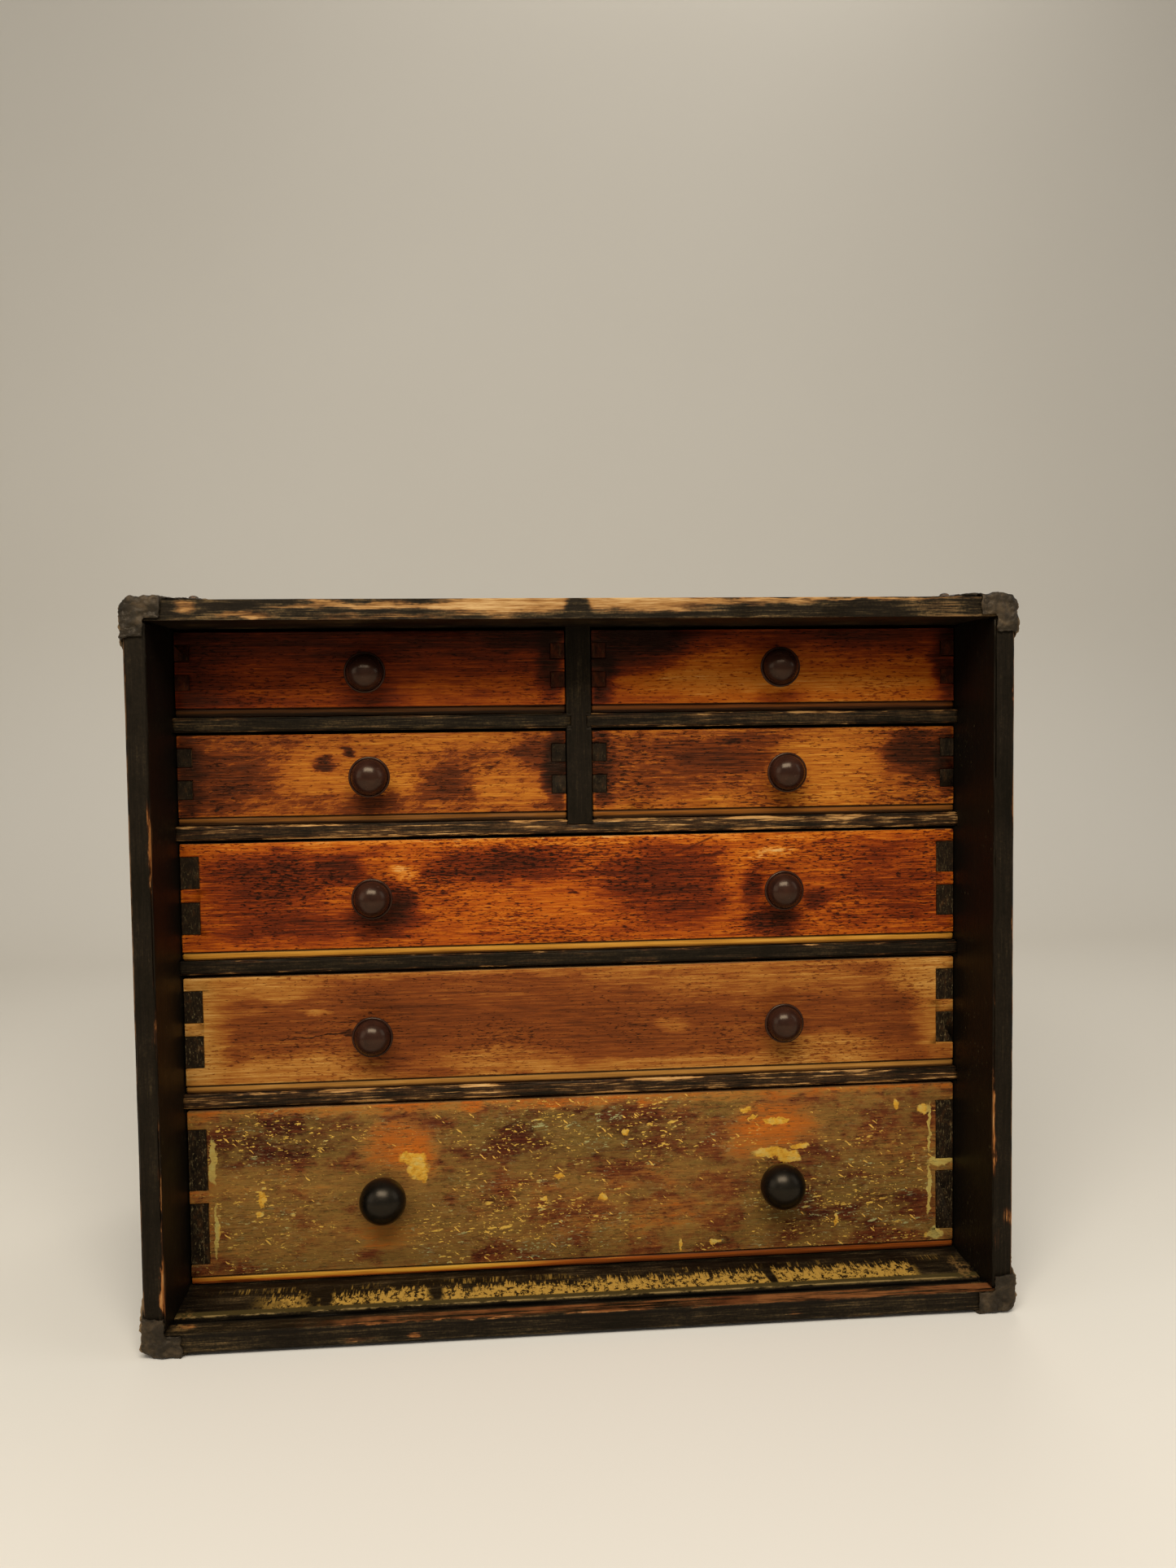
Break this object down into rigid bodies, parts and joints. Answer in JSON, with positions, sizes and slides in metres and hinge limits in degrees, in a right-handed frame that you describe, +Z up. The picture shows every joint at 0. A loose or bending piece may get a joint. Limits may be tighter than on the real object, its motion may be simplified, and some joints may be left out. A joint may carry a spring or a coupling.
{
  "type": "miniature chest of drawers",
  "caption": "Table-top wooden chest of drawers: open-fronted dovetailed case, short drawers above wide ones, turned knobs, leather corner caps.",
  "frame": {"origin": "centre of the bounding box, on the surface the chest stands on (undersides of the lower corner caps)", "axes": "+Z up, front and drawer knobs toward -Y, +X to the right when seen from the front"},
  "size_m": [0.437, 0.258, 0.3655],
  "materials": {
    "black_paint": "satin",
    "bare_pine": "matte",
    "stained_pine": "satin",
    "worn_pine": "satin",
    "flecked_pine": "satin",
    "drawer_pine": "matte",
    "knob_brown": "satin",
    "knob_black": "satin",
    "cap_leather": "satin",
    "nail_steel": "satin"
  },
  "bodies": {
    "carcase": {"side_left": "black_paint", "side_right": "black_paint", "top_board": "black_paint", "bottom_board": "black_paint", "back_panel": "bare_pine", "divider_top_left": "black_paint", "divider_top_right": "black_paint", "divider_above_third": "black_paint", "divider_above_fourth": "black_paint", "divider_above_bottom": "black_paint", "centre_partition": "black_paint", "cap_front_lower_left": "cap_leather", "cap_front_lower_right": "cap_leather", "cap_front_upper_left": "cap_leather", "cap_front_upper_right": "cap_leather", "caps_rear": "cap_leather", "cap_nails": "nail_steel", "panel_pins": "nail_steel"},
    "drawer_top_left": {"drawer_top_left_front": "stained_pine", "drawer_top_left_side_left": "drawer_pine", "drawer_top_left_side_right": "drawer_pine", "drawer_top_left_back": "drawer_pine", "drawer_top_left_floor": "drawer_pine", "drawer_top_left_knob": "knob_brown"},
    "drawer_top_right": {"drawer_top_right_front": "stained_pine", "drawer_top_right_side_left": "drawer_pine", "drawer_top_right_side_right": "drawer_pine", "drawer_top_right_back": "drawer_pine", "drawer_top_right_floor": "drawer_pine", "drawer_top_right_knob": "knob_brown"},
    "drawer_second_left": {"drawer_second_left_front": "stained_pine", "drawer_second_left_side_left": "drawer_pine", "drawer_second_left_side_right": "drawer_pine", "drawer_second_left_back": "drawer_pine", "drawer_second_left_floor": "drawer_pine", "drawer_second_left_knob": "knob_brown"},
    "drawer_second_right": {"drawer_second_right_front": "stained_pine", "drawer_second_right_side_left": "drawer_pine", "drawer_second_right_side_right": "drawer_pine", "drawer_second_right_back": "drawer_pine", "drawer_second_right_floor": "drawer_pine", "drawer_second_right_knob": "knob_brown"},
    "drawer_third": {"drawer_third_front": "stained_pine", "drawer_third_side_left": "drawer_pine", "drawer_third_side_right": "drawer_pine", "drawer_third_back": "drawer_pine", "drawer_third_floor": "drawer_pine", "drawer_third_knobs": "knob_brown"},
    "drawer_fourth": {"drawer_fourth_front": "worn_pine", "drawer_fourth_side_left": "drawer_pine", "drawer_fourth_side_right": "drawer_pine", "drawer_fourth_back": "drawer_pine", "drawer_fourth_floor": "drawer_pine", "drawer_fourth_knobs": "knob_brown"},
    "drawer_bottom": {"drawer_bottom_front": "flecked_pine", "drawer_bottom_side_left": "drawer_pine", "drawer_bottom_side_right": "drawer_pine", "drawer_bottom_back": "drawer_pine", "drawer_bottom_floor": "drawer_pine", "drawer_bottom_knobs": "knob_black"}
  },
  "joints": [
    {"name": "drawer_top_left_slide", "type": "slide", "parent": "carcase", "child": "drawer_top_left", "axis": [0, -1, 0], "range_m": [0, 0.15]},
    {"name": "drawer_top_right_slide", "type": "slide", "parent": "carcase", "child": "drawer_top_right", "axis": [0, -1, 0], "range_m": [0, 0.15]},
    {"name": "drawer_second_left_slide", "type": "slide", "parent": "carcase", "child": "drawer_second_left", "axis": [0, -1, 0], "range_m": [0, 0.15]},
    {"name": "drawer_second_right_slide", "type": "slide", "parent": "carcase", "child": "drawer_second_right", "axis": [0, -1, 0], "range_m": [0, 0.15]},
    {"name": "drawer_third_slide", "type": "slide", "parent": "carcase", "child": "drawer_third", "axis": [0, -1, 0], "range_m": [0, 0.15]},
    {"name": "drawer_fourth_slide", "type": "slide", "parent": "carcase", "child": "drawer_fourth", "axis": [0, -1, 0], "range_m": [0, 0.15]},
    {"name": "drawer_bottom_slide", "type": "slide", "parent": "carcase", "child": "drawer_bottom", "axis": [0, -1, 0], "range_m": [0, 0.15]}
  ]
}
